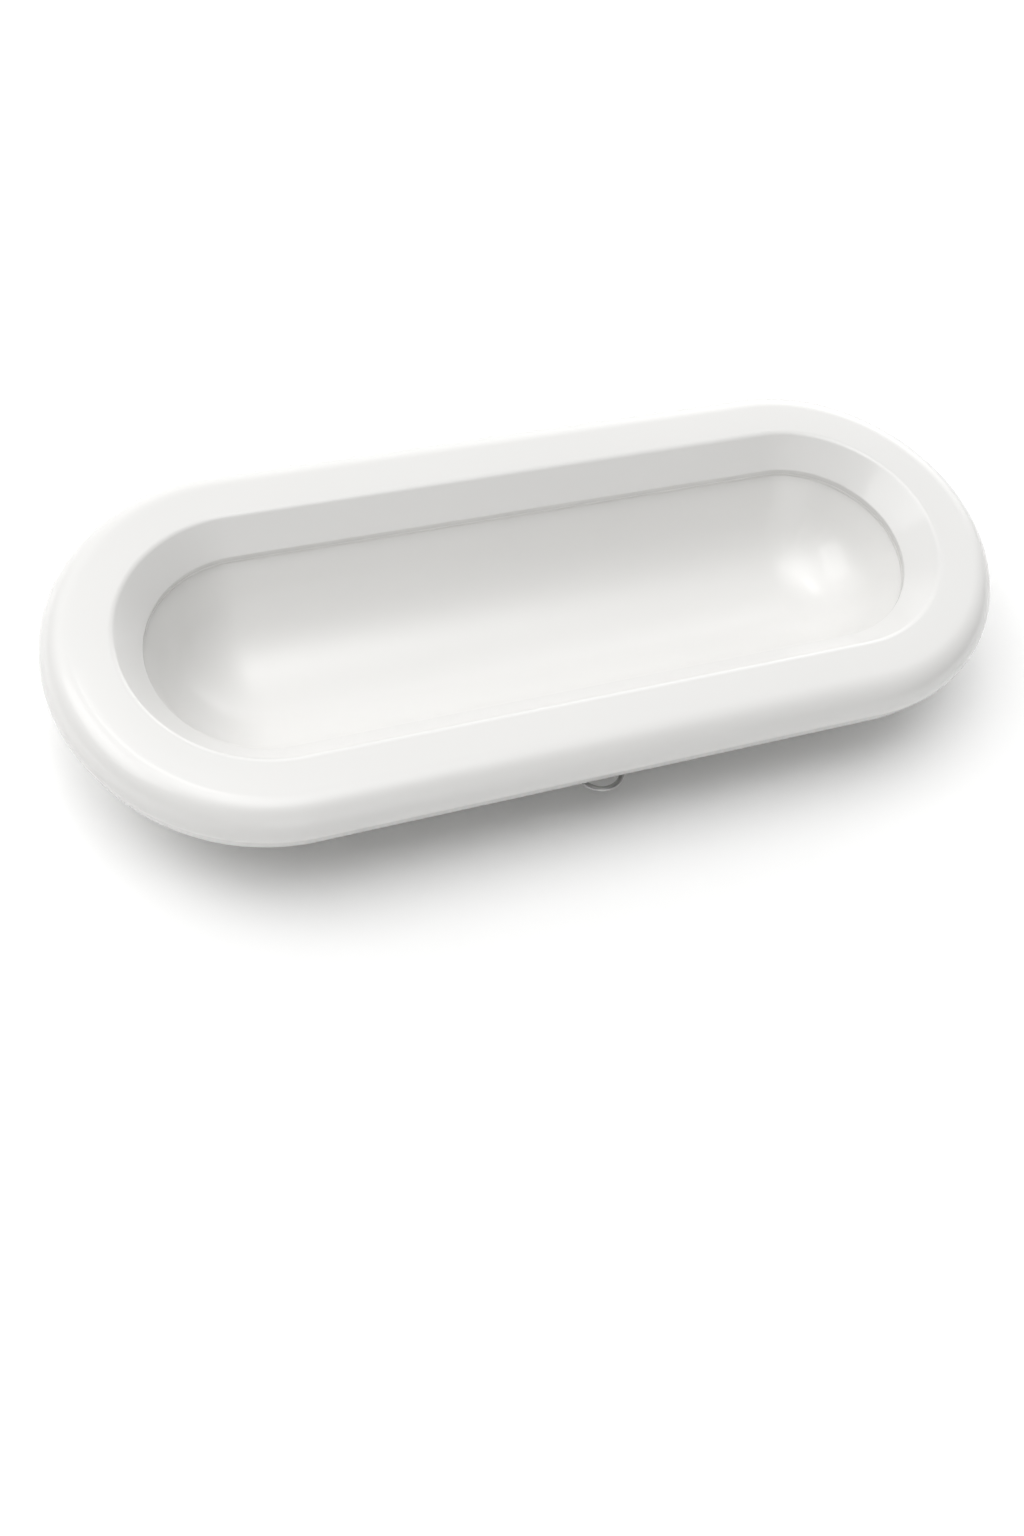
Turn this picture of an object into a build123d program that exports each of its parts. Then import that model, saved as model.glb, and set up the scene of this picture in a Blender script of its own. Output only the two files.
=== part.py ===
# Capsule-shaped bedpan with a wide hollow rim.
# Millimetres, +Z up, +X along the pan. The origin is on the floor, under the middle of the pan.
# Every ring-shaped piece is one section, drawn as (distance from the spine, height), carried once round.
import os
from math import asin, atan2, cos, degrees, radians, sin, tan

from build123d import *

os.makedirs("parts", exist_ok=True)

# Overall size
overall_length = 403.0
overall_width = 165.0
overall_height = 54.0

# Rim shell: the wide seat, its rolled edge and the sloping shoulder inside it
rim_wall = 3.0
rolled_edge_radius = 12.0
rolled_edge_turn = 20.0          # degrees that the edge curls under, past the vertical
flat_width = 14.5                # flat of the seat, measured in from the rolled edge
mouth_round = 3.5
shoulder_run = 11.5
shoulder_drop = 11.4
lip_height = 2.5
lip_round = 1.0

# Bowl
bowl_wall = 3.0
bowl_set_back = 0.25             # the lip overhangs the bowl's wall by this much
bowl_draft = 32.0                # degrees
bowl_floor_round = 44.0
bowl_floor_fill = 0.98           # share of the half floor that the round may take, at most
bowl_flange_reach = 7.25
bowl_flange_thickness = 2.5
bowl_floor_thickness = 3.0

# Seals
gasket_thickness = 1.5
gasket_recess = 0.15
gasket_width = 6.35
skirt_seal_thickness = 1.2
skirt_seal_width = 2.1
skirt_seal_recess = 1.2

# Under-rim: the ring that closes the hollow rim from below
under_rim_plate = 2.5
under_rim_depth = 24.4           # from the seat down to the under-rim's lower face
band_set_back = 0.8              # the band stands in from the rolled edge by this much
band_taper = 2.1
band_round = 0.5
tongue_thickness = 1.8
tongue_height = 4.3
tongue_clearance = 0.4
collar_thickness = 2.5
collar_clearance = 1.0
seal_rib_thickness = 2.0

# Screws and their bosses
screw_line_inset = 18.5          # from the pan's outer edge to the line of screws
side_screw_pitch = 60.0
side_screw_count = 4
end_screw_angles = (-60.0, 0.0, 60.0)
boss_radius = 4.5
boss_web = 2.0
boss_web_drop = 9.0
pilot_radius = 1.4
pilot_depth = 14.0
screw_thread_clearance = 0.05
screw_length = 12.0
screw_hole_radius = 2.0
screw_head_radius = 3.3
screw_head_height = 2.2
screw_recess_width = 0.9
screw_recess_depth = 1.3
weep_hole_radius = 2.0
weep_hole_angle = 30.0

# Foot pads
pad_radius = 10.0
pad_height = 3.0
pad_edge = 0.8
pad_grip = 0.15
pad_floor = 1.2                  # rubber left under the peg
foot_radius = 8.0
foot_peg_radius = 3.5
foot_x = 88.0
foot_y = 24.0
floor_over_pads = 1.5            # the bowl's floor stands this far above the tops of the pads

# Hanging ring and its lug
ring_wire_radius = 1.05
ring_bow_radius = 9.5
ring_corner_radius = 1.5
ring_fit = 0.08                  # radial clearance of the ring's bar in the lug
ring_inset = 13.5                # from the pan's outer edge to the ring's bar
ring_drop = 6.6                  # from the under-rim's lower face to the ring's bar
lug_length = 10.0
lug_radius = 2.6

# Places worked out from the sizes above
half_straight = (overall_length - overall_width) / 2
outer_r = overall_width / 2
roll_centre_r = outer_r - rolled_edge_radius
roll_centre_z = overall_height - rolled_edge_radius
mouth_r = roll_centre_r - flat_width
throat_r = mouth_r - shoulder_run
step_z = overall_height - shoulder_drop
lip_z = step_z - lip_height
roll_end_r = roll_centre_r + rolled_edge_radius * cos(radians(rolled_edge_turn))
roll_end_z = roll_centre_z - rolled_edge_radius * sin(radians(rolled_edge_turn))
roll_inner = rolled_edge_radius - rim_wall
roll_inner_angle = degrees(asin((roll_centre_z - roll_end_z) / roll_inner))
roll_inner_r = roll_centre_r + roll_inner * cos(radians(roll_inner_angle))
shoulder_slope = atan2(shoulder_drop, shoulder_run)
flange_z = lip_z - gasket_thickness
flange_r = throat_r + bowl_set_back + bowl_flange_reach
seal_z = roll_end_z - skirt_seal_thickness
under_z = overall_height - under_rim_depth
plate_z = under_z + under_rim_plate
floor_underside_z = pad_height + floor_over_pads
floor_z = floor_underside_z + bowl_floor_thickness
screw_line_r = outer_r - screw_line_inset
ring_y = -(outer_r - ring_inset)
ring_z = under_z - ring_drop


def shoulder_underside(height):
    """Distance from the spine to the shoulder's lower surface at a height."""
    r = throat_r + rim_wall * sin(shoulder_slope)
    z = step_z - rim_wall * cos(shoulder_slope)
    return r + (height - z) / tan(shoulder_slope)


def corner(sketch, r, z):
    """The corner of a section that is nearest to a place."""
    return sketch.vertices().sort_by_distance((r, z))[0]


def carry_round(section, mode=Mode.ADD):
    """Carry a section round the pan: along both sides and round both ends."""
    for side in (-1, 1):
        end = (-side * half_straight, 0, 0)
        with BuildSketch(Plane(origin=(0, 0, 0), x_dir=(0, side, 0), z_dir=(side, 0, 0))) as along:
            add(section.sketch_local)
        with BuildSketch(Plane(origin=end, x_dir=(0, side, 0), z_dir=(side, 0, 0))) as around:
            add(section.sketch_local)
        extrude(along.sketch, amount=half_straight, both=True, mode=mode)
        revolve(around.sketch, axis=Axis(end, (0, 0, 1)), revolution_arc=180, mode=mode)


def screw_places():
    """Place and direction outward of each screw, as (x, y, degrees)."""
    first = -side_screw_pitch * (side_screw_count - 1) / 2
    places = []
    for side in (-1, 1):
        for number in range(side_screw_count):
            places.append((first + number * side_screw_pitch, side * screw_line_r, side * 90.0))
    for end, turn in ((1, 0.0), (-1, 180.0)):
        for angle in end_screw_angles:
            away = radians(turn + angle)
            x = end * half_straight + screw_line_r * cos(away)
            places.append((x, screw_line_r * sin(away), turn + angle))
    return places


# Rim shell ------------------------------------------------------------------
with BuildSketch() as rim_section:
    with BuildLine():
        Polyline(
            (roll_centre_r, overall_height),
            (mouth_r, overall_height),
            (throat_r, step_z),
            (throat_r, lip_z),
            (shoulder_underside(lip_z), lip_z),
            (shoulder_underside(overall_height - rim_wall), overall_height - rim_wall),
            (roll_centre_r, overall_height - rim_wall),
        )
        CenterArc((roll_centre_r, roll_centre_z), roll_inner, 90, -90 - roll_inner_angle)
        Line((roll_inner_r, roll_end_z), (roll_end_r, roll_end_z))
        CenterArc((roll_centre_r, roll_centre_z), rolled_edge_radius, 90, -90 - rolled_edge_turn)
    make_face()
    fillet(corner(rim_section, mouth_r, overall_height), mouth_round)
    fillet(corner(rim_section, throat_r, step_z), lip_round)

gasket_inner_r = throat_r + gasket_recess
seal_rib_r = gasket_inner_r + gasket_width - seal_rib_thickness
with BuildSketch() as seal_rib_section:
    with BuildLine():
        Polyline(
            (seal_rib_r, lip_z),
            (seal_rib_r + seal_rib_thickness, lip_z),
            (seal_rib_r + seal_rib_thickness, lip_z + shoulder_drop / 2),
            (seal_rib_r, lip_z + shoulder_drop / 2),
            close=True,
        )
    make_face()
    with BuildLine():
        Polyline(
            (throat_r, step_z),
            (mouth_r, overall_height),
            (throat_r, overall_height),
            close=True,
        )
    make_face(mode=Mode.SUBTRACT)

with BuildPart() as rim_shell:
    carry_round(rim_section)
    carry_round(seal_rib_section)
    roof_z = overall_height - rim_wall / 2
    for x, y, turn in screw_places():
        with BuildSketch(Plane.XY.offset(plate_z)):
            with Locations((x, y)):
                Circle(boss_radius)
        extrude(amount=roof_z - plate_z)
        with BuildSketch(Plane.XY.offset(roof_z)):
            with Locations(Location((x, y, 0), (0, 0, turn))):
                Rectangle(flat_width - rim_wall, boss_web)
        extrude(amount=-boss_web_drop)
    for x, y, turn in screw_places():
        with BuildSketch(Plane.XY.offset(plate_z)):
            with Locations((x, y)):
                Circle(pilot_radius)
        extrude(amount=pilot_depth, mode=Mode.SUBTRACT)
rim_shell.part.label = "rim_shell"
export_step(rim_shell.part, "parts/rim_shell.step")

# Bowl -----------------------------------------------------------------------
bowl_r = throat_r + bowl_set_back
floor_corner_r = bowl_r - (flange_z - floor_z) * tan(radians(bowl_draft))
round_run = tan(radians(90 - bowl_draft) / 2)       # floor used up by a round of radius 1
floor_round = min(bowl_floor_round, bowl_floor_fill * floor_corner_r / round_run)
with BuildSketch() as bowl_inside:
    with BuildLine():
        Polyline((0, floor_z), (floor_corner_r, floor_z), (bowl_r, flange_z), (0, flange_z), close=True)
    make_face()
    fillet(corner(bowl_inside, floor_corner_r, floor_z), floor_round)

wall_step = bowl_wall / cos(radians(bowl_draft))
underside_corner_r = bowl_r + wall_step - (flange_z - floor_underside_z) * tan(radians(bowl_draft))
flange_under_z = flange_z - bowl_flange_thickness
wall_under_flange_r = bowl_r + wall_step - bowl_flange_thickness * tan(radians(bowl_draft))
with BuildSketch() as bowl_outside:
    with BuildLine():
        Polyline(
            (0, floor_underside_z),
            (underside_corner_r, floor_underside_z),
            (wall_under_flange_r, flange_under_z),
            (flange_r, flange_under_z),
            (flange_r, flange_z),
            (0, flange_z),
            close=True,
        )
    make_face()
    fillet(corner(bowl_outside, underside_corner_r, floor_underside_z), floor_round + bowl_wall)

foot_places = [(x, y) for x in (-foot_x, foot_x) for y in (-foot_y, foot_y)]
with BuildPart() as bowl:
    carry_round(bowl_outside)
    for x, y in foot_places:
        with BuildSketch(Plane.XY.offset(pad_height)):
            with Locations((x, y)):
                Circle(foot_radius)
        extrude(amount=floor_z + floor_round / 2 - pad_height)
    carry_round(bowl_inside, mode=Mode.SUBTRACT)
    for x, y in foot_places:
        with BuildSketch(Plane.XY.offset(pad_floor)):
            with Locations((x, y)):
                Circle(foot_peg_radius)
        extrude(amount=pad_height - pad_floor)
bowl.part.label = "bowl"
export_step(bowl.part, "parts/bowl.step")

# Under-rim ------------------------------------------------------------------
collar_r = wall_under_flange_r + collar_clearance
band_top_r = roll_end_r - band_set_back
band_foot_r = band_top_r - band_taper
tongue_r = roll_inner_r - tongue_clearance
with BuildSketch() as under_rim_section:
    with BuildLine():
        Polyline(
            (collar_r, under_z),
            (band_foot_r, under_z),
            (band_top_r, seal_z),
            (tongue_r, seal_z),
            (tongue_r, seal_z + tongue_height),
            (tongue_r - tongue_thickness, seal_z + tongue_height),
            (tongue_r - tongue_thickness, plate_z),
            (collar_r + collar_thickness, plate_z),
            (collar_r + collar_thickness, flange_under_z),
            (collar_r, flange_under_z),
            close=True,
        )
    make_face()
    fillet(corner(under_rim_section, band_foot_r, under_z), band_round)

with BuildPart() as under_rim:
    carry_round(under_rim_section)
    with BuildSketch(Plane.XY.offset(under_z)):
        for x, y, turn in screw_places():
            with Locations((x, y)):
                Circle(screw_hole_radius)
        for end, turn in ((1, 0.0), (-1, 180.0)):
            for side in (-1, 1):
                away = radians(turn + side * weep_hole_angle)
                with Locations((end * half_straight + screw_line_r * cos(away), screw_line_r * sin(away))):
                    Circle(weep_hole_radius)
    extrude(amount=under_rim_plate, mode=Mode.SUBTRACT)
    with BuildSketch(Plane.YZ):
        with Locations((ring_y, ring_z)):
            Circle(lug_radius)
        with Locations((ring_y, (ring_z + plate_z) / 2)):
            Rectangle(2 * lug_radius, plate_z - ring_z)
    extrude(amount=lug_length / 2, both=True)
    with BuildSketch(Plane.YZ):
        with Locations((ring_y, ring_z)):
            Circle(ring_wire_radius + ring_fit)
    extrude(amount=lug_length / 2, both=True, mode=Mode.SUBTRACT)
under_rim.part.label = "under_rim"
export_step(under_rim.part, "parts/under_rim.step")

# Seals ----------------------------------------------------------------------
with BuildSketch() as gasket_section:
    with Locations((gasket_inner_r, flange_z)):
        Rectangle(gasket_width, gasket_thickness, align=(Align.MIN, Align.MIN))

with BuildPart() as bowl_gasket:
    carry_round(gasket_section)
bowl_gasket.part.label = "bowl_gasket"
export_step(bowl_gasket.part, "parts/bowl_gasket.step")

with BuildSketch() as skirt_seal_section:
    with Locations((roll_end_r - skirt_seal_recess, seal_z)):
        Rectangle(skirt_seal_width, skirt_seal_thickness, align=(Align.MAX, Align.MIN))

with BuildPart() as skirt_seal:
    carry_round(skirt_seal_section)
skirt_seal.part.label = "skirt_seal"
export_step(skirt_seal.part, "parts/skirt_seal.step")

# Rim screws: pan heads below the under-rim, shanks up in the rim shell's bosses ---------------
with BuildPart() as rim_screws:
    head_edge = screw_head_height / 2
    for x, y, turn in screw_places():
        with BuildSketch(Plane.XY.offset(under_z)):
            with Locations((x, y)):
                Circle(screw_head_radius)
        extrude(amount=-screw_head_height)
    fillet(rim_screws.faces().sort_by(Axis.Z)[:len(screw_places())].edges(), head_edge)
    for x, y, turn in screw_places():
        with BuildSketch(Plane.XY.offset(under_z)):
            with Locations((x, y)):
                Circle(pilot_radius - screw_thread_clearance)
        extrude(amount=screw_length)
        with BuildSketch(Plane.XY.offset(under_z - screw_head_height)):
            for cross in (0, 90):
                with Locations(Location((x, y, 0), (0, 0, turn + cross))):
                    Rectangle(screw_head_radius, screw_recess_width)
        extrude(amount=screw_recess_depth, mode=Mode.SUBTRACT)
rim_screws.part.label = "rim_screws"
export_step(rim_screws.part, "parts/rim_screws.step")

# Foot pads: each pressed over the peg of one of the bowl's feet ---------------------
for number, (x, y) in enumerate(foot_places, start=1):
    with BuildPart() as foot_pad:
        with BuildSketch():
            with Locations((x, y)):
                Circle(pad_radius)
        extrude(amount=pad_height)
        fillet(foot_pad.edges().sort_by(Axis.Z)[-1], pad_edge)
        fillet(foot_pad.edges().sort_by(Axis.Z)[0], pad_edge)
        with BuildSketch(Plane.XY.offset(pad_floor)):
            with Locations((x, y)):
                Circle(foot_peg_radius + pad_grip)
        extrude(amount=pad_height - pad_floor, mode=Mode.SUBTRACT)
    foot_pad.part.label = f"foot_pad_{number}"
    export_step(foot_pad.part, f"parts/foot_pad_{number}.step")

# Hanging ring: a D of round wire; its straight bar turns in the under-rim's lug -------------
bar_half = ring_bow_radius - ring_corner_radius
with BuildPart() as hang_ring:
    with BuildLine(Plane.XY.offset(ring_z)):
        bar = Line((-bar_half, ring_y), (bar_half, ring_y))
        RadiusArc(bar @ 1, (ring_bow_radius, ring_y - ring_corner_radius), ring_corner_radius)
        RadiusArc(bar @ 0, (-ring_bow_radius, ring_y - ring_corner_radius), -ring_corner_radius)
        CenterArc((0, ring_y - ring_corner_radius), ring_bow_radius, 180, 180)
    with BuildSketch(Plane(origin=(0, ring_y, ring_z), z_dir=(1, 0, 0))):
        Circle(ring_wire_radius)
    sweep()
hang_ring.part.label = "hang_ring"
export_step(hang_ring.part, "parts/hang_ring.step")
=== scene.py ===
# A capsule-shaped bedpan: gloss white rim and bowl, rubber foot pads and a small hanging ring.
# Everything is in metres, and takes its place from the frame's own boxes.
import math
import bmesh
import bpy
from mathutils import Matrix, Quaternion, Vector


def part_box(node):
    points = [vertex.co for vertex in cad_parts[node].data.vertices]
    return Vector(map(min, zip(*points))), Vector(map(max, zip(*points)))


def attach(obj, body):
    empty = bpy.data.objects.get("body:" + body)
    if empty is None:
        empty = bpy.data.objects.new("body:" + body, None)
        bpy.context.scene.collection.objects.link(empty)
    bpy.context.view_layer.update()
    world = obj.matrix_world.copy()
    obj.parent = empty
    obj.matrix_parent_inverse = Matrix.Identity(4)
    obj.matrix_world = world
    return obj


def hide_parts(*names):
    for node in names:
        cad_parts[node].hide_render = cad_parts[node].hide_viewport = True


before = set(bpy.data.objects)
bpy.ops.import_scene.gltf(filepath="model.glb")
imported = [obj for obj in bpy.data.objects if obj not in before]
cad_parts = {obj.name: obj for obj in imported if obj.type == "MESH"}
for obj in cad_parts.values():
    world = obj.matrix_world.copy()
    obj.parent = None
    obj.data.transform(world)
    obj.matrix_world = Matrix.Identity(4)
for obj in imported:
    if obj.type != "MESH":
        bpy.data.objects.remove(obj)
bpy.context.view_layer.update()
mm = 0.001

shellLow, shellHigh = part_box("rim_shell")
halfWidth = shellHigh.y
halfStraight = shellHigh.x - shellHigh.y
topZ = shellHigh.z
print("frame read: half width", round(halfWidth, 4), "top", round(topZ, 4))


# outlines: lists of (distance from the spine, height)

def arcPoints(centre, radius, startDegrees, endDegrees, steps):
    points = []
    for step in range(steps + 1):
        angle = math.radians(startDegrees + (endDegrees - startDegrees) * step / steps)
        points.append((centre[0] + radius * math.cos(angle), centre[1] + radius * math.sin(angle)))
    return points


# a corner given as (r, z, radius) becomes an arc between its two runs
def roundedOutline(corners, closed=True):
    outline = []
    for index, corner in enumerate(corners):
        here = Vector(corner[:2])
        atEnd = not closed and index in (0, len(corners) - 1)
        if len(corner) == 2 or atEnd:
            outline.append(tuple(here))
            continue
        radius = corner[2]
        before = (Vector(corners[index - 1][:2]) - here).normalized()
        after = (Vector(corners[(index + 1) % len(corners)][:2]) - here).normalized()
        half = before.angle(after) / 2
        centre = here + (before + after).normalized() * (radius / math.sin(half))
        start = here + before * (radius / math.tan(half)) - centre
        end = here + after * (radius / math.tan(half)) - centre
        fromAngle = math.atan2(start.y, start.x)
        turn = (math.atan2(end.y, end.x) - fromAngle + math.pi) % (2 * math.pi) - math.pi
        steps = max(3, int(abs(math.degrees(turn)) / 5))
        for step in range(steps + 1):
            angle = fromAngle + turn * step / steps
            outline.append((centre.x + radius * math.cos(angle), centre.y + radius * math.sin(angle)))
    return outline


# meshes from outlines

meshing = {"weld": 0.002 * mm, "sharpDegrees": 32.0, "sideSteps": 30, "endSteps": 72}


def smoothed(mesh, sharpDegrees=meshing["sharpDegrees"]):
    mesh.shade_smooth()
    mesh.set_sharp_from_angle(angle=math.radians(sharpDegrees))


def meshFromWork(name, work):
    mesh = bpy.data.meshes.new(name)
    work.to_mesh(mesh)
    work.free()
    return mesh


def placeMesh(name, mesh):
    piece = bpy.data.objects.new(name, mesh)
    bpy.context.scene.collection.objects.link(piece)
    return piece


# rows of places joined into faces: once round the piece, or from one capped end to the other
def meshFromRows(name, rows, closedOutline=True, capped=False, sharpDegrees=meshing["sharpDegrees"]):
    work = bmesh.new()
    made = [[work.verts.new(place) for place in row] for row in rows]
    for row, ahead in zip(made, made[1:] if capped else made[1:] + made[:1]):
        for step in range(len(row) if closedOutline else len(row) - 1):
            after = (step + 1) % len(row)
            work.faces.new((row[step], row[after], ahead[after], ahead[step]))
    if capped:
        work.faces.new(made[0])
        work.faces.new(made[-1])
    else:
        bmesh.ops.remove_doubles(work, verts=work.verts, dist=meshing["weld"])
    bmesh.ops.recalc_face_normals(work, faces=work.faces)
    mesh = meshFromWork(name, work)
    smoothed(mesh, sharpDegrees)
    return placeMesh(name, mesh)


# a box of this size about its own middle, narrowed at its top by two shares
def block(name, size, place, narrowing=(1.0, 1.0)):
    work = bmesh.new()
    bmesh.ops.create_cube(work, size=1.0)
    bmesh.ops.scale(work, vec=size, verts=work.verts)
    for vert in work.verts:
        if vert.co.z > 0:
            vert.co.x *= narrowing[0]
            vert.co.y *= narrowing[1]
    bmesh.ops.transform(work, matrix=place, verts=work.verts)
    mesh = meshFromWork(name, work)
    smoothed(mesh)
    return placeMesh(name, mesh)


# a section carried along both sides of the pan and round both ends
def carryRound(name, outline, closedOutline=True):
    rows = []
    for side in (-1, 1):
        stations = []
        for step in range(meshing["sideSteps"]):
            x = side * halfStraight * (1 - 2 * step / meshing["sideSteps"])
            stations.append((x, math.radians(side * 90)))
        for step in range(meshing["endSteps"]):
            turned = side * 90 + 180 * step / meshing["endSteps"]
            stations.append((-side * halfStraight, math.radians(turned)))
        for x, angle in stations:
            rows.append([(x + r * math.cos(angle), r * math.sin(angle), z) for r, z in outline])
    return meshFromRows(name, rows, closedOutline)


# an outline turned about an upright line
def turnRound(name, outline, x, y, steps):
    rows = []
    for step in range(steps):
        angle = 2 * math.pi * step / steps
        rows.append([(x + r * math.cos(angle), y + r * math.sin(angle), z) for r, z in outline])
    return meshFromRows(name, rows, closedOutline=False)


# several pieces made one
def joined(pieces):
    work = bmesh.new()
    for piece in pieces:
        piece.data.transform(piece.matrix_basis)
        work.from_mesh(piece.data)
    for piece in pieces[1:]:
        bpy.data.objects.remove(piece)
    pieces[0].data = meshFromWork(pieces[0].name, work)
    pieces[0].matrix_basis = Matrix.Identity(4)
    return pieces[0]


# add the other piece to this one, or cut it out of it
def combine(piece, other, operation):
    step = piece.modifiers.new("combine", "BOOLEAN")
    step.operation = operation
    step.solver = "EXACT"
    step.object = other
    graph = bpy.context.evaluated_depsgraph_get()
    mesh = bpy.data.meshes.new_from_object(piece.evaluated_get(graph))
    piece.modifiers.clear()
    piece.data = mesh
    smoothed(mesh)
    bpy.data.objects.remove(other)


# the piece's material, its body and the CAD node that it stands for
def settle(piece, body, material, node):
    piece.data.materials.clear()
    piece.data.materials.append(material)
    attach(piece, body)
    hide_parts(node)


# finishes

def newMaterial(name):
    material = bpy.data.materials.new(name)
    material.use_nodes = True
    tree = material.node_tree
    return material, tree, tree.nodes["Principled BSDF"]


# noise in the object's own metres
def noiseAt(tree, scale, detail=3.0, roughness=0.5, stretch=(1, 1, 1)):
    place = tree.nodes.new("ShaderNodeTexCoord")
    spread = tree.nodes.new("ShaderNodeMapping")
    spread.inputs["Scale"].default_value = stretch
    noise = tree.nodes.new("ShaderNodeTexNoise")
    noise.inputs["Scale"].default_value = scale
    noise.inputs["Detail"].default_value = detail
    noise.inputs["Roughness"].default_value = roughness
    tree.links.new(place.outputs["Object"], spread.inputs["Vector"])
    tree.links.new(spread.outputs["Vector"], noise.inputs["Vector"])
    return noise.outputs["Fac"]


def ranged(tree, value, low, high, fromLow=0.3, fromHigh=0.7):
    step = tree.nodes.new("ShaderNodeMapRange")
    step.inputs["From Min"].default_value = fromLow
    step.inputs["From Max"].default_value = fromHigh
    step.inputs["To Min"].default_value = low
    step.inputs["To Max"].default_value = high
    tree.links.new(value, step.inputs["Value"])
    return step.outputs["Result"]


def blended(tree, amount, colourA, colourB):
    mix = tree.nodes.new("ShaderNodeMix")
    mix.data_type = "RGBA"
    tree.links.new(amount, mix.inputs["Factor"])
    for socket, colour in ((mix.inputs[6], colourA), (mix.inputs[7], colourB)):
        if isinstance(colour, tuple):
            socket.default_value = (*colour, 1)
        else:
            tree.links.new(colour, socket)
    return mix.outputs[2]


# layers: (height, depth in metres), laid one on another
def bumped(tree, shader, layers):
    normal = None
    for height, depth in layers:
        bump = tree.nodes.new("ShaderNodeBump")
        bump.inputs["Strength"].default_value = 1.0
        bump.inputs["Distance"].default_value = depth
        tree.links.new(height, bump.inputs["Height"])
        if normal is not None:
            tree.links.new(normal, bump.inputs["Normal"])
        normal = bump.outputs["Normal"]
    tree.links.new(normal, shader.inputs["Normal"])


# moulded white plastic: faint tone drift, wiped smears in the gloss, fine mould grain, and painted shade
# darkening the colour in tight corners
def glossMoulding(name, look):
    material, tree, shader = newMaterial(name)
    drift = ranged(tree, noiseAt(tree, look["driftScale"], 2.0), 0.0, 1.0)
    tone = blended(tree, drift, look["colour"], look["colourDrift"])
    # painted shade: ambient occlusion darkens the base colour towards a darker shade colour in tight corners
    # and gaps
    cornerOcclusion = tree.nodes.new("ShaderNodeAmbientOcclusion")
    cornerOcclusion.inputs["Distance"].default_value = look["paintedShadeReach"]
    cornerOcclusion.samples = 8
    paintedShadeMask = ranged(tree, cornerOcclusion.outputs["AO"], 1.0, 0.0, 0.25, 0.75)
    tree.links.new(blended(tree, paintedShadeMask, tone, look["paintedShadeColour"]), shader.inputs["Base Color"])
    smears = noiseAt(tree, look["smearScale"], 4.0, 0.6, (0.35, 1.0, 1.0))
    tree.links.new(ranged(tree, smears, *look["roughness"]), shader.inputs["Roughness"])
    bumped(tree, shader, [
        (noiseAt(tree, look["waveScale"], 1.0), look["waveDepth"]),
        (noiseAt(tree, look["grainScale"], 2.0), look["grainDepth"]),
    ])
    shader.inputs["IOR"].default_value = look["ior"]
    shader.inputs["Coat Weight"].default_value = look["coat"]
    shader.inputs["Coat Roughness"].default_value = look["coatRoughness"]
    return material


rimGloss = glossMoulding("rimGloss", {
    "colour": (0.735, 0.730, 0.716), "colourDrift": (0.724, 0.720, 0.707), "driftScale": 9.0,
    # the darker colour and its reach on the next line are painted shade for tight corners and gaps
    "paintedShadeColour": (0.70, 0.694, 0.678), "paintedShadeReach": 1.2 * mm,
    "smearScale": 26.0, "roughness": (0.19, 0.26),
    "waveScale": 22.0, "waveDepth": 0.03 * mm, "grainScale": 900.0, "grainDepth": 0.002 * mm,
    "ior": 1.49, "coat": 0.25, "coatRoughness": 0.06,
})
bowlGloss = glossMoulding("bowlGloss", {
    "colour": (0.762, 0.757, 0.742), "colourDrift": (0.75, 0.745, 0.73), "driftScale": 11.0,
    # the darker colour and its reach on the next line are painted shade for tight corners and gaps
    "paintedShadeColour": (0.70, 0.694, 0.678), "paintedShadeReach": 1.2 * mm,
    "smearScale": 30.0, "roughness": (0.18, 0.255),
    "waveScale": 18.0, "waveDepth": 0.03 * mm, "grainScale": 900.0, "grainDepth": 0.002 * mm,
    "ior": 1.49, "coat": 0.25, "coatRoughness": 0.05,
})


# rubber or silicone: matt, finely pitted, paler where it is rubbed
def softRubber(name, look):
    material, tree, shader = newMaterial(name)
    patch = ranged(tree, noiseAt(tree, look["patchScale"], 4.0), 0.0, 1.0)
    tree.links.new(blended(tree, patch, look["colour"], look["worn"]), shader.inputs["Base Color"])
    scuffs = noiseAt(tree, look["patchScale"] * 3)
    tree.links.new(ranged(tree, scuffs, *look["roughness"]), shader.inputs["Roughness"])
    bumped(tree, shader, [(noiseAt(tree, look["pitScale"], 3.0, 0.7), look["pitDepth"])])
    shader.inputs["Specular IOR Level"].default_value = look["shine"]
    shader.inputs["Sheen Weight"].default_value = look["sheen"]
    return material


sealSilicone = softRubber("sealSilicone", {
    "colour": (0.80, 0.795, 0.78), "worn": (0.83, 0.825, 0.81), "patchScale": 60.0,
    "roughness": (0.42, 0.55), "pitScale": 1500.0, "pitDepth": 0.004 * mm, "shine": 0.35, "sheen": 0.1,
})
padRubber = softRubber("padRubber", {
    "colour": (0.13, 0.135, 0.14), "worn": (0.20, 0.205, 0.21), "patchScale": 140.0,
    "roughness": (0.62, 0.80), "pitScale": 2200.0, "pitDepth": 0.02 * mm, "shine": 0.25, "sheen": 0.15,
})


# drawn or turned stainless steel: fine streaks, a little scattered tarnish
def satinSteel(name, look):
    material, tree, shader = newMaterial(name)
    streaks = noiseAt(tree, look["streakScale"], 3.0, 0.6, look["streakStretch"])
    tarnish = ranged(tree, noiseAt(tree, look["tarnishScale"], 4.0), 0.0, 1.0, 0.45, 0.75)
    tree.links.new(blended(tree, tarnish, look["colour"], look["tarnish"]), shader.inputs["Base Color"])
    tree.links.new(ranged(tree, streaks, *look["roughness"]), shader.inputs["Roughness"])
    bumped(tree, shader, [(streaks, look["streakDepth"])])
    shader.inputs["Metallic"].default_value = 1.0
    return material


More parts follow.
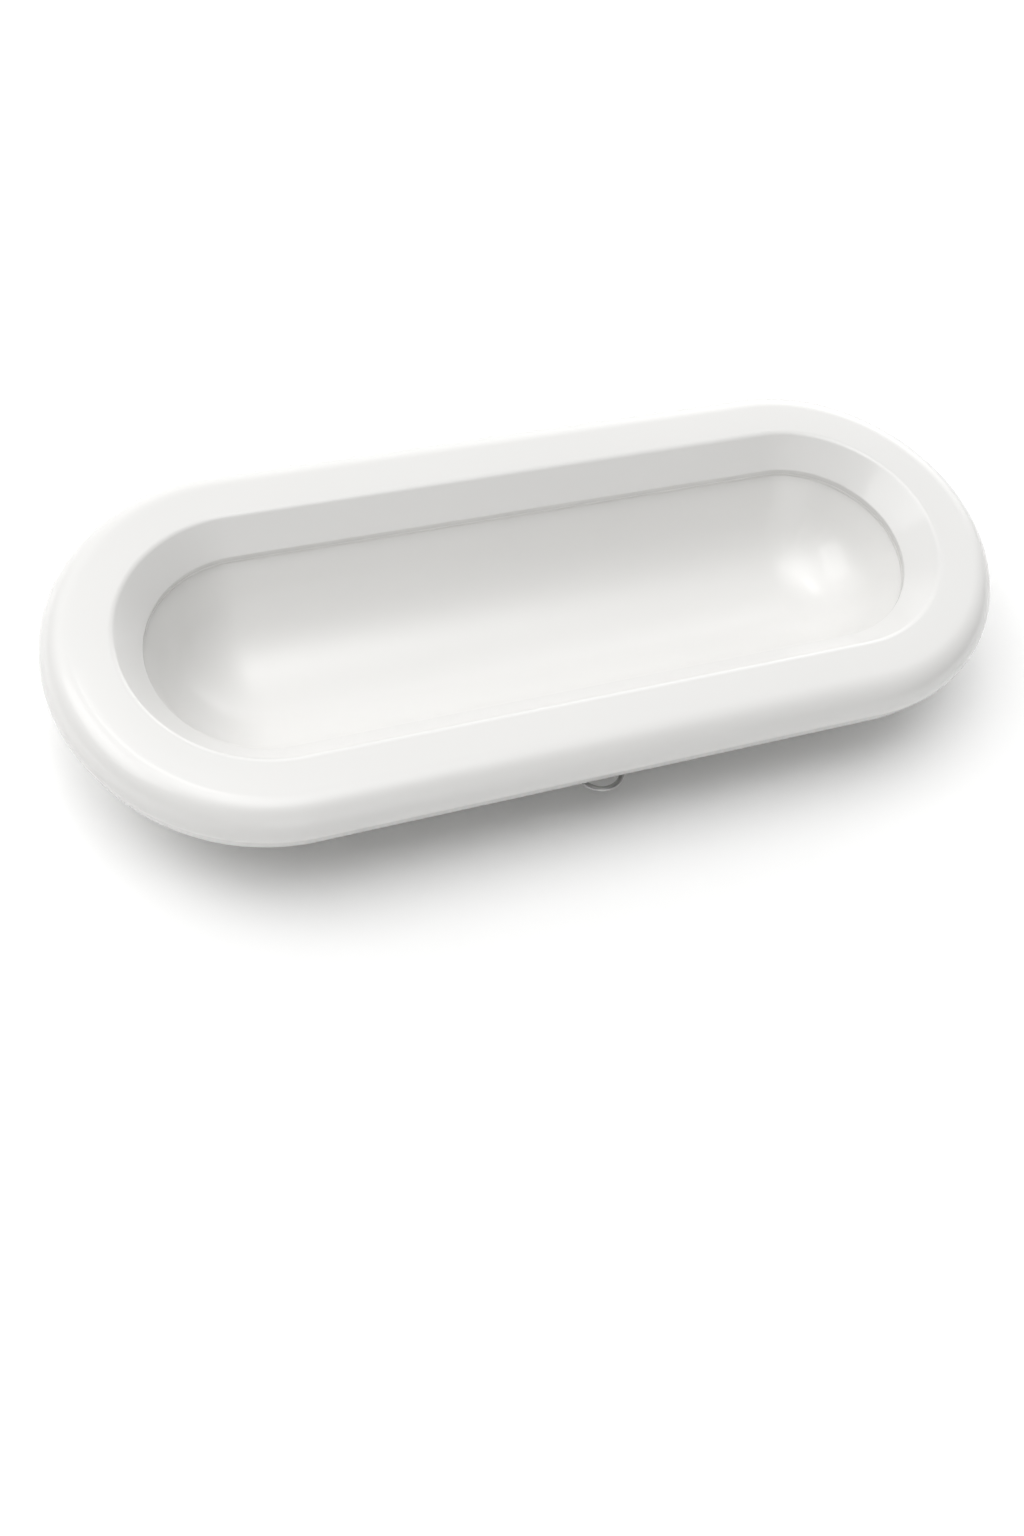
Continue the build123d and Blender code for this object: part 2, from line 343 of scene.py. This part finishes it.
ringSteel = satinSteel("ringSteel", {
    "colour": (0.42, 0.42, 0.415), "tarnish": (0.33, 0.325, 0.32), "tarnishScale": 300.0,
    "streakScale": 900.0, "streakStretch": (0.25, 1.0, 1.0), "streakDepth": 0.004 * mm,
    "roughness": (0.28, 0.42),
})
screwSteel = satinSteel("screwSteel", {
    "colour": (0.60, 0.60, 0.60), "tarnish": (0.45, 0.445, 0.44), "tarnishScale": 420.0,
    "streakScale": 1100.0, "streakStretch": (1.0, 1.0, 0.3), "streakDepth": 0.004 * mm,
    "roughness": (0.24, 0.38),
})
print("finishes made")

# rim shell: the wide seat, its rolled edge and the shoulder that slopes down to the lip

rim = {
    "wall": 3.0 * mm, "rollRadius": 12.0 * mm, "rollTurn": 20.0, "rollSteps": 44, "innerSteps": 26,
    "flatWidth": 14.5 * mm, "mouthRound": 3.5 * mm, "shoulderRun": 11.5 * mm, "shoulderDrop": 11.4 * mm,
    "lipHeight": 2.5 * mm, "lipRound": 1.0 * mm, "lipUnderRound": 0.15 * mm, "edgeRound": 0.3 * mm,
    "cornerRound": 2.0 * mm, "ribThickness": 2.0 * mm, "ribRound": 0.2 * mm,
    "bossRadius": 4.5 * mm, "bossRound": 0.3 * mm, "bossSteps": 40,
    "pilotRadius": 1.4 * mm, "pilotDepth": 14.0 * mm,
    "webThickness": 2.0 * mm, "webDrop": 9.0 * mm,
}
rollCentre = (halfWidth - rim["rollRadius"], topZ - rim["rollRadius"])
mouthR = rollCentre[0] - rim["flatWidth"]
throatR = mouthR - rim["shoulderRun"]
stepZ = topZ - rim["shoulderDrop"]
lipZ = stepZ - rim["lipHeight"]
rollEndZ = rollCentre[1] - rim["rollRadius"] * math.sin(math.radians(rim["rollTurn"]))
rollEndR = rollCentre[0] + rim["rollRadius"] * math.cos(math.radians(rim["rollTurn"]))
rollInner = rim["rollRadius"] - rim["wall"]
rollInnerTurn = math.degrees(math.asin((rollCentre[1] - rollEndZ) / rollInner))
rollInnerR = rollCentre[0] + rollInner * math.cos(math.radians(rollInnerTurn))
slope = math.atan2(rim["shoulderDrop"], rim["shoulderRun"])
gasketLow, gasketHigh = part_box("bowl_gasket")
gasketOuterR = gasketHigh.y
ribR = gasketOuterR - rim["ribThickness"]
throatUnderR = throatR + rim["wall"] * math.sin(slope)
throatUnderZ = stepZ - rim["wall"] * math.cos(slope)


# height of the shoulder's lower surface at a distance from the spine, and the distance at a height
def shoulderUnderZ(r):
    return throatUnderZ + (r - throatUnderR) * math.tan(slope)


def shoulderUnderR(z):
    return throatUnderR + (z - throatUnderZ) / math.tan(slope)


# the screws' places are used by the bosses and the drilled holes too
screws = {
    "headRadius": 3.3 * mm, "headHeight": 2.2 * mm, "headEase": 0.1 * mm, "shankRadius": 1.35 * mm,
    "threadDepth": 0.38 * mm, "threadPitch": 1.27 * mm, "threadStart": 1.2 * mm, "crestSharpness": 2.4,
    "length": 12.0 * mm, "tipLength": 2.0 * mm, "tipShare": 0.45, "pointShare": 0.3, "pointHeight": 0.02 * mm,
    "recessWidth": 0.9 * mm, "recessDepth": 1.3 * mm, "recessNarrowing": (0.55, 0.7),
    "levels": 72, "steps": 28, "headSteps": 8, "sharpDegrees": 40.0, "spin": 37.0,
    "plateThickness": 2.5 * mm, "lineInset": 18.5 * mm, "sidePitch": 60.0 * mm, "sideCount": 4,
    "endAngles": (-60.0, 0.0, 60.0),
}
screwsLow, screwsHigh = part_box("rim_screws")
screwLineR = halfWidth - screws["lineInset"]


# a place on the screws' line round one end: x, y and the direction outward
def endPlace(turn, angle):
    away = math.radians(turn + angle)
    end = halfStraight if turn == 0 else -halfStraight
    return end + screwLineR * math.cos(away), screwLineR * math.sin(away), away


def screwPlaces():
    first = -screws["sidePitch"] * (screws["sideCount"] - 1) / 2
    places = []
    for side in (-1, 1):
        for number in range(screws["sideCount"]):
            places.append((first + number * screws["sidePitch"], side * screwLineR, math.radians(side * 90)))
    for turn in (0, 180):
        places += [endPlace(turn, angle) for angle in screws["endAngles"]]
    return places


underPlateZ = screwsLow.z + screws["headHeight"]
plateTopZ = underPlateZ + screws["plateThickness"]


def makeRimShell():
    roofZ = topZ - rim["wall"]
    outer = arcPoints(rollCentre, rim["rollRadius"], 90, -rim["rollTurn"], rim["rollSteps"])
    inner = arcPoints(rollCentre, rollInner, -rollInnerTurn, 90, rim["innerSteps"])
    corners = outer[:-1] + [(*outer[-1], rim["edgeRound"]), (*inner[0], rim["edgeRound"])] + inner[1:]
    corners += [
        (shoulderUnderR(roofZ), roofZ, rim["cornerRound"]),
        (gasketOuterR, shoulderUnderZ(gasketOuterR)),
        (gasketOuterR, lipZ, rim["ribRound"]),
        (ribR, lipZ, rim["ribRound"]),
        (ribR, shoulderUnderZ(ribR)),
        (shoulderUnderR(lipZ), lipZ, rim["ribRound"]),
        (throatR, lipZ, rim["lipUnderRound"]),
        (throatR, stepZ, rim["lipRound"]),
        (mouthR, topZ, rim["mouthRound"]),
    ]
    shell = carryRound("rimShell", roundedOutline(corners))
    middle = topZ - rim["wall"] / 2
    bosses = []
    webs = []
    for x, y, away in screwPlaces():
        bossOutline = roundedOutline([
            (0, plateTopZ + rim["pilotDepth"]), (rim["pilotRadius"], plateTopZ + rim["pilotDepth"]),
            (rim["pilotRadius"], plateTopZ), (rim["bossRadius"], plateTopZ, rim["bossRound"]),
            (rim["bossRadius"], middle), (0, middle),
        ], closed=False)
        bosses.append(turnRound("boss", bossOutline, x, y, rim["bossSteps"]))
        size = (rim["flatWidth"] - rim["wall"], rim["webThickness"], rim["webDrop"])
        place = Matrix.Translation((x, y, middle - rim["webDrop"] / 2)) @ Matrix.Rotation(away, 4, "Z")
        webs.append(block("web", size, place))
    combine(shell, joined(webs), "UNION")
    combine(shell, joined(bosses), "UNION")
    settle(shell, "pan", rimGloss, "rim_shell")


makeRimShell()
print("rim shell made")

# bowl: hangs by its flange under the lip, with four feet

bowl = {
    "wall": 3.0 * mm, "setBack": 0.25 * mm, "draft": 32.0, "floorRound": 44.0 * mm, "overPads": 1.5 * mm,
    "flangeThickness": 2.5 * mm, "flangeRound": 0.7 * mm, "edgeRound": 0.3 * mm, "mouthRound": 0.15 * mm,
    "footX": 88.0 * mm, "footY": 24.0 * mm, "footRadius": 8.0 * mm, "footRound": 0.5 * mm, "footSteps": 56,
    "pegRadius": 3.5 * mm, "pegHeight": 1.8 * mm, "pegRound": 0.4 * mm,
}
bowlLow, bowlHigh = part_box("bowl")
padLow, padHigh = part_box("foot_pad_1")
flangeR = bowlHigh.y
flangeZ = bowlHigh.z
padTopZ = padHigh.z
floorUnderZ = padTopZ + bowl["overPads"]
floorZ = floorUnderZ + bowl["wall"]
draftRun = math.tan(math.radians(bowl["draft"]))
bowlR = throatR + bowl["setBack"]
wallStep = bowl["wall"] / math.cos(math.radians(bowl["draft"]))
flangeUnderZ = flangeZ - bowl["flangeThickness"]
wallUnderFlangeR = bowlR + wallStep - bowl["flangeThickness"] * draftRun


# floor corner of a surface parallel to the bowl's inside, offset outward
def bowlSide(offset, floorHeight):
    return bowlR + offset - (flangeZ - floorHeight) * draftRun


def makeBowl():
    corners = [
        (0, floorZ),
        (bowlSide(0, floorZ), floorZ, bowl["floorRound"]),
        (bowlR, flangeZ, bowl["mouthRound"]),
        (flangeR, flangeZ, bowl["edgeRound"]),
        (flangeR, flangeUnderZ, bowl["edgeRound"]),
        (wallUnderFlangeR, flangeUnderZ, bowl["flangeRound"]),
        (bowlSide(wallStep, floorUnderZ), floorUnderZ, bowl["floorRound"] + bowl["wall"]),
        (0, floorUnderZ),
    ]
    body = carryRound("bowl", roundedOutline(corners, closed=False), closedOutline=False)
    middleZ = floorZ - bowl["wall"] / 2
    keepOut = carryRound("keepOut", roundedOutline([
        (0, middleZ),
        (bowlSide(wallStep / 2, middleZ), middleZ, bowl["floorRound"] + bowl["wall"] / 2),
        (bowlR + wallStep / 2, flangeZ),
        (0, flangeZ),
    ], closed=False), closedOutline=False)
    pegEndZ = padTopZ - bowl["pegHeight"]
    footTopZ = floorZ + bowl["floorRound"] / 2  # well inside the wall, and cut back to it below
    footOutline = roundedOutline([
        (0, pegEndZ),
        (bowl["pegRadius"], pegEndZ, bowl["pegRound"]),
        (bowl["pegRadius"], padTopZ),
        (bowl["footRadius"], padTopZ, bowl["footRound"]),
        (bowl["footRadius"], footTopZ),
        (0, footTopZ),
    ], closed=False)
    feet = []
    for x in (-bowl["footX"], bowl["footX"]):
        for y in (-bowl["footY"], bowl["footY"]):
            feet.append(turnRound("foot", footOutline, x, y, bowl["footSteps"]))
    allFeet = joined(feet)
    combine(allFeet, keepOut, "DIFFERENCE")
    combine(body, allFeet, "UNION")
    settle(body, "pan", bowlGloss, "bowl")


makeBowl()
print("bowl made")

# under-rim: closes the hollow rim; its outer wall is the band below the rolled edge

underRim = {
    "bandSetBack": 0.8 * mm, "bandTaper": 2.1 * mm, "bandRound": 0.5 * mm, "bandTopRound": 0.3 * mm,
    "tongueThickness": 1.8 * mm, "tongueHeight": 4.3 * mm, "tongueClearance": 0.4 * mm,
    "tongueRound": 0.4 * mm, "plateRound": 1.0 * mm,
    "collarThickness": 2.5 * mm, "collarClearance": 1.0 * mm, "collarRound": 0.3 * mm,
    "collarUnderRound": 0.4 * mm, "screwHoleRadius": 2.0 * mm, "weepRadius": 2.0 * mm, "weepAngle": 30.0,
    "drillPast": 1.0 * mm, "drillSteps": 32, "lugLength": 10.0 * mm, "lugRadius": 2.6 * mm,
    "lugRound": 0.6 * mm, "lugSink": 0.5 * mm, "boreRound": 0.1 * mm,
}
ring = {
    "wireRadius": 1.05 * mm, "cornerRadius": 1.5 * mm, "fit": 0.08 * mm, "buttGap": 0.16 * mm,
    "endRound": 0.15 * mm, "wireSteps": 28, "barSteps": 8, "cornerSteps": 10, "bowSteps": 64,
    "sharpDegrees": 40.0,
}
ringLow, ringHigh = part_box("hang_ring")
hinge = Vector((0, ringHigh.y - ring["wireRadius"], (ringLow.z + ringHigh.z) / 2))
sealLow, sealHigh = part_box("skirt_seal")
bandTopZ = sealLow.z
bandR = rollEndR - underRim["bandSetBack"]


def weepPlaces():
    return [endPlace(turn, side * underRim["weepAngle"]) for turn in (0, 180) for side in (-1, 1)]


def drill(x, y, radius):
    high = plateTopZ + underRim["drillPast"]
    low = underPlateZ - underRim["drillPast"]
    outline = [(0, high), (radius, high), (radius, low), (0, low)]
    return turnRound("drill", outline, x, y, underRim["drillSteps"])


# an outline in (y, z) made a bar along x, its ends eased by the edge size
def sideways(name, outline, length, edge):
    middleY = sum(place[0] for place in outline) / len(outline)
    middleZ = sum(place[1] for place in outline) / len(outline)
    rows = []
    half = length / 2
    for x, inset in ((-half, edge), (-half + edge, 0), (half - edge, 0), (half, edge)):
        row = []
        for y, z in outline:
            away = Vector((y - middleY, z - middleZ))
            away *= 1 - inset / max(away.length, edge)
            row.append((x, middleY + away.x, middleZ + away.y))
        rows.append(row)
    return meshFromRows(name, rows, capped=True)


def makeUnderRim():
    collarR = wallUnderFlangeR + underRim["collarClearance"]
    collarOuterR = collarR + underRim["collarThickness"]
    tongueR = rollInnerR - underRim["tongueClearance"]
    tongueInnerR = tongueR - underRim["tongueThickness"]
    tongueTopZ = bandTopZ + underRim["tongueHeight"]
    body = carryRound("underRim", roundedOutline([
        (collarR, underPlateZ, underRim["collarUnderRound"]),
        (bandR - underRim["bandTaper"], underPlateZ, underRim["bandRound"]),
        (bandR, bandTopZ, underRim["bandTopRound"]),
        (tongueR, bandTopZ),
        (tongueR, tongueTopZ, underRim["tongueRound"]),
        (tongueInnerR, tongueTopZ, underRim["tongueRound"]),
        (tongueInnerR, plateTopZ, underRim["plateRound"]),
        (collarOuterR, plateTopZ, underRim["plateRound"]),
        (collarOuterR, flangeUnderZ, underRim["collarRound"]),
        (collarR, flangeUnderZ, underRim["collarRound"]),
    ]))
    drills = [drill(x, y, underRim["screwHoleRadius"]) for x, y, away in screwPlaces()]
    drills += [drill(x, y, underRim["weepRadius"]) for x, y, away in weepPlaces()]
    combine(body, joined(drills), "DIFFERENCE")
    cheek = underRim["lugRadius"]
    lugOutline = arcPoints((hinge.y, hinge.z), cheek, 180, 360, 24)
    lugTopZ = plateTopZ - underRim["lugSink"]
    lugOutline += [(hinge.y + cheek, lugTopZ), (hinge.y - cheek, lugTopZ)]
    lug = sideways("lug", lugOutline, underRim["lugLength"], underRim["lugRound"])
    boreOutline = arcPoints((hinge.y, hinge.z), ring["wireRadius"] + ring["fit"], 0, 354, 59)
    bore = sideways("bore", boreOutline, 2 * underRim["lugLength"], underRim["boreRound"])
    combine(lug, bore, "DIFFERENCE")
    combine(body, lug, "UNION")
    settle(body, "pan", rimGloss, "under_rim")


makeUnderRim()
print("under-rim made")

# seals: under the lip, and between the rolled edge and the band

seals = {"gasketWidth": 6.35 * mm, "skirtWidth": 2.1 * mm, "edgeRound": 0.12 * mm}


def makeSeal(name, outerR, width, lowZ, highZ, node):
    innerR = outerR - width
    edge = seals["edgeRound"]
    outline = roundedOutline([
        (innerR, lowZ, edge), (outerR, lowZ, edge), (outerR, highZ, edge), (innerR, highZ, edge),
    ])
    settle(carryRound(name, outline), "pan", sealSilicone, node)


makeSeal("bowlGasket", gasketOuterR, seals["gasketWidth"], gasketLow.z, gasketHigh.z, "bowl_gasket")
makeSeal("skirtSeal", sealHigh.y, seals["skirtWidth"], sealLow.z, sealHigh.z, "skirt_seal")
print("seals made")

# foot pads: each grips the peg of one of the bowl's feet

foot = {
    "count": 4, "steps": 72, "edgeRound": 0.8 * mm,
    "holeRadius": 3.65 * mm, "holeFloor": 1.2 * mm, "holeRound": 0.2 * mm,
    "grooveCount": 3, "grooveFirst": 3.2 * mm, "groovePitch": 2.1 * mm, "grooveWidth": 0.9 * mm,
    "grooveDepth": 0.5 * mm, "grooveEase": 0.15 * mm,
}


def makeFootPad(number):
    low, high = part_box("foot_pad_" + str(number))
    middle = (low + high) / 2
    radius = (high.x - low.x) / 2
    corners = [
        (0, low.z + foot["holeFloor"]),
        (foot["holeRadius"], low.z + foot["holeFloor"], foot["holeRound"]),
        (foot["holeRadius"], high.z, foot["holeRound"]),
        (radius, high.z, foot["edgeRound"]),
        (radius, low.z, foot["edgeRound"]),
    ]
    top = low.z + foot["grooveDepth"]
    ease = foot["grooveEase"]
    for groove in reversed(range(foot["grooveCount"])):
        inner = foot["grooveFirst"] + groove * foot["groovePitch"]
        outer = inner + foot["grooveWidth"]
        corners += [(outer, low.z, ease), (outer - ease, top, ease)]
        corners += [(inner + ease, top, ease), (inner, low.z, ease)]
    corners.append((0, low.z))
    outline = roundedOutline(corners, closed=False)
    pad = turnRound("footPad" + str(number), outline, middle.x, middle.y, foot["steps"])
    settle(pad, "pan", padRubber, "foot_pad_" + str(number))


for number in range(1, foot["count"] + 1):
    makeFootPad(number)
print("foot pads made")

# rim screws: pan heads with a cross recess, thread-forming shanks


# one screw, its head's seat at the origin, its shank upward; profile rows are (r, z, depth of thread)
def makeScrew():
    headR = screws["headRadius"]
    headH = screws["headHeight"]
    headRound = headH / 2
    ease = screws["headEase"]
    shankR = screws["shankRadius"]
    length = screws["length"]
    share = screws["tipShare"]
    profile = [(0, -headH, 0), (headR - headRound, -headH, 0)]
    dome = arcPoints((headR - headRound, -headH + headRound), headRound, -80, 0, screws["headSteps"])
    profile += [(r, z, 0) for r, z in dome]
    profile += [(headR, -ease, 0), (headR - ease, 0, 0), (shankR, 0, 0)]
    for level in range(1, screws["levels"]):
        z = length * level / screws["levels"]
        toTip = min(1.0, (length - z) / screws["tipLength"])
        fromHead = min(1.0, z / screws["threadStart"])
        profile.append((shankR * (share + (1 - share) * toTip), z, screws["threadDepth"] * toTip * fromHead))
    profile += [(shankR * screws["pointShare"], length - screws["pointHeight"], 0), (0, length, 0)]
    rows = []
    for step in range(screws["steps"]):
        around = step / screws["steps"]
        angle = 2 * math.pi * around
        row = []
        for r, z, cut in profile:
            phase = (z / screws["threadPitch"] - around) % 1.0
            r -= cut * min(1.0, screws["crestSharpness"] * min(phase, 1 - phase))
            row.append((r * math.cos(angle), r * math.sin(angle), z))
        rows.append(row)
    screw = meshFromRows("screw", rows, closedOutline=False, sharpDegrees=screws["sharpDegrees"])
    size = (headR, screws["recessWidth"], 2 * screws["recessDepth"])
    for turn in (0, 90):
        place = Matrix.Translation((0, 0, -headH)) @ Matrix.Rotation(math.radians(turn), 4, "Z")
        combine(screw, block("cross", size, place, screws["recessNarrowing"]), "DIFFERENCE")
    return screw


def makeScrews():
    pattern = makeScrew()
    copies = []
    for number, (x, y, away) in enumerate(screwPlaces()):
        copy = placeMesh("rimScrews", pattern.data.copy())
        spin = Matrix.Rotation(away + math.radians(number * screws["spin"]), 4, "Z")
        copy.data.transform(Matrix.Translation((x, y, underPlateZ)) @ spin)
        copies.append(copy)
    bpy.data.objects.remove(pattern)
    together = joined(copies)
    smoothed(together.data)
    settle(together, "pan", screwSteel, "rim_screws")


makeScrews()
print("screws made")

# hanging ring: a D of round wire whose butted ends meet inside the lug


# places along the wire's middle, from one end round to the other
def ringPath():
    corner = ring["cornerRadius"]
    bow = (ringHigh.x - ringLow.x) / 2 - ring["wireRadius"]
    start = ring["buttGap"] / 2
    steps = ring["barSteps"]
    bar = [(start + (bow - corner - start) * step / steps, hinge.y) for step in range(steps + 1)]
    turnIn = arcPoints((bow - corner, hinge.y - corner), corner, 90, 0, ring["cornerSteps"])[1:]
    half = bar + turnIn
    arc = arcPoints((0, hinge.y - corner), bow, 0, -180, ring["bowSteps"])[1:-1]
    otherHalf = [(-x, y) for x, y in reversed(half)]
    return [Vector((x, y, hinge.z)) for x, y in half + arc + otherHalf]


# both ends of the wire are eased by a small round
def makeRing():
    path = ringPath()
    radius = ring["wireRadius"]
    ease = ring["endRound"]
    nearly = 0.3 * ease
    rows = []
    last = len(path) - 1
    for index, place in enumerate(path):
        ahead = (path[min(index + 1, last)] - path[max(index - 1, 0)]).normalized()
        outward = Vector((ahead.y, -ahead.x, 0))
        loops = [(0, radius)]
        if index == 0:
            loops = [(0, radius - ease), (nearly, radius - nearly), (ease, radius)]
        elif index == last:
            loops = [(-ease, radius), (-nearly, radius - nearly), (0, radius - ease)]
        for shift, size in loops:
            row = []
            for step in range(ring["wireSteps"]):
                angle = 2 * math.pi * step / ring["wireSteps"]
                upward = Vector((0, 0, size * math.sin(angle)))
                row.append(place + ahead * shift + outward * (size * math.cos(angle)) + upward)
            rows.append(row)
    piece = meshFromRows("hangRing", rows, capped=True, sharpDegrees=ring["sharpDegrees"])
    settle(piece, "ring", ringSteel, "hang_ring")


makeRing()
print("ring made")

# floor, lights and camera

studio = {
    "floorSize": 8.0, "floorColour": (0.95, 0.95, 0.945), "floorRoughness": 0.9, "floorDrop": 0.05 * mm,
    "lampAway": 2.0, "worldSeen": 0.98,
}
# soft glows of the sky: degrees down from overhead, degrees round from +x, tightness, brightness
glows = {
    "overhead": (0.0, 0.0, 16.0, 3.45),
    "backLeft": (28.0, 120.0, 14.0, 1.1),
    "left": (28.0, 180.0, 14.0, 1.0),
    "lowRight": (54.0, 45.0, 14.0, 0.6),
    "lowBackLeft": (54.0, 135.0, 14.0, 1.3),
    "horizonRight": (80.0, 45.0, 12.0, 2.7),
    "horizonBack": (80.0, 90.0, 12.0, 1.1),
    "horizonFront": (80.0, 270.0, 12.0, 1.75),
}
# lamps that make the highlights: degrees down, degrees round, width and depth, brightness
lamps = {
    "leftLamp": (40.0, 168.0, (1.5, 0.9), 2.0),
    "backLamp": (22.0, 100.0, (0.3, 0.7), 3.0),
}


def makeFloor():
    work = bmesh.new()
    half = studio["floorSize"] / 2
    corners = [(-half, -half), (half, -half), (half, half), (-half, half)]
    work.faces.new([work.verts.new((x, y, -studio["floorDrop"])) for x, y in corners])
    floor = placeMesh("floor", meshFromWork("floor", work))
    material, tree, shader = newMaterial("paleFloor")
    shader.inputs["Base Color"].default_value = (*studio["floorColour"], 1)
    shader.inputs["Roughness"].default_value = studio["floorRoughness"]
    shader.inputs["Specular IOR Level"].default_value = 0.0
    floor.data.materials.append(material)


# the direction of a light, from degrees down from overhead and degrees round from +x
def skyward(down, around):
    down, around = math.radians(down), math.radians(around)
    return Vector((math.sin(down) * math.cos(around), math.sin(down) * math.sin(around), math.cos(down)))


def makeLamp(name, down, around, size, brightness):
    towards = skyward(down, around)
    light = bpy.data.lights.new(name, "AREA")
    light.shape = "RECTANGLE"
    light.size, light.size_y = size
    light.energy = brightness * math.pi * size[0] * size[1]
    lamp = bpy.data.objects.new(name, light)
    lamp.location = towards * studio["lampAway"]
    lamp.rotation_euler = towards.to_track_quat("Z", "Y").to_euler()
    bpy.context.scene.collection.objects.link(lamp)


def mathNode(tree, operation, first, second):
    node = tree.nodes.new("ShaderNodeMath")
    node.operation = operation
    for socket, value in zip(node.inputs, (first, second)):
        if isinstance(value, float):
            socket.default_value = value
        else:
            tree.links.new(value, socket)
    return node.outputs[0]


# the sky is the sum of the glows, and the camera sees it as an even pale wall
def makeWorld():
    world = bpy.data.worlds.new("studio")
    bpy.context.scene.world = world
    world.use_nodes = True
    tree = world.node_tree
    background = tree.nodes["Background"]
    background.inputs["Color"].default_value = (1, 1, 1, 1)
    place = tree.nodes.new("ShaderNodeTexCoord")
    total = 0.0
    for down, around, tightness, brightness in glows.values():
        facing = tree.nodes.new("ShaderNodeVectorMath")
        facing.operation = "DOT_PRODUCT"
        facing.inputs[1].default_value = skyward(down, around)
        tree.links.new(place.outputs["Generated"], facing.inputs[0])
        aside = mathNode(tree, "SUBTRACT", facing.outputs["Value"], 1.0)
        fade = mathNode(tree, "MULTIPLY", aside, tightness)
        glow = mathNode(tree, "MULTIPLY", mathNode(tree, "EXPONENT", fade, 0.0), brightness)
        total = mathNode(tree, "ADD", glow, total)
    seen = tree.nodes.new("ShaderNodeLightPath")
    shown = tree.nodes.new("ShaderNodeMix")
    shown.inputs[3].default_value = studio["worldSeen"]
    tree.links.new(seen.outputs["Is Camera Ray"], shown.inputs[0])
    tree.links.new(total, shown.inputs[2])
    tree.links.new(shown.outputs[0], background.inputs["Strength"])


view = {
    "aim": (-45.95 * mm, -78.2 * mm, topZ), "away": 617.0 * mm, "around": -36.55, "up": 57.7, "roll": 20.0,
    "lens": 39.09, "sensor": 36.0, "nearest": 0.01,
}


def makeCamera():
    around = math.radians(view["around"])
    up = math.radians(view["up"])
    back = Vector((math.sin(around) * math.cos(up), -math.cos(around) * math.cos(up), math.sin(up)))
    camera = bpy.data.objects.new("camera", bpy.data.cameras.new("camera"))
    camera.data.lens = view["lens"]
    camera.data.sensor_width = view["sensor"]
    camera.data.clip_start = view["nearest"]
    camera.location = Vector(view["aim"]) + back * view["away"]
    camera.rotation_mode = "QUATERNION"
    rolled = Quaternion((0, 0, 1), math.radians(view["roll"]))
    camera.rotation_quaternion = back.to_track_quat("Z", "Y") @ rolled
    bpy.context.scene.collection.objects.link(camera)
    bpy.context.scene.camera = camera


makeFloor()
for name, lamp in lamps.items():
    makeLamp(name, *lamp)
makeWorld()
makeCamera()
bpy.context.scene.view_settings.view_transform = "Standard"
print("studio made")
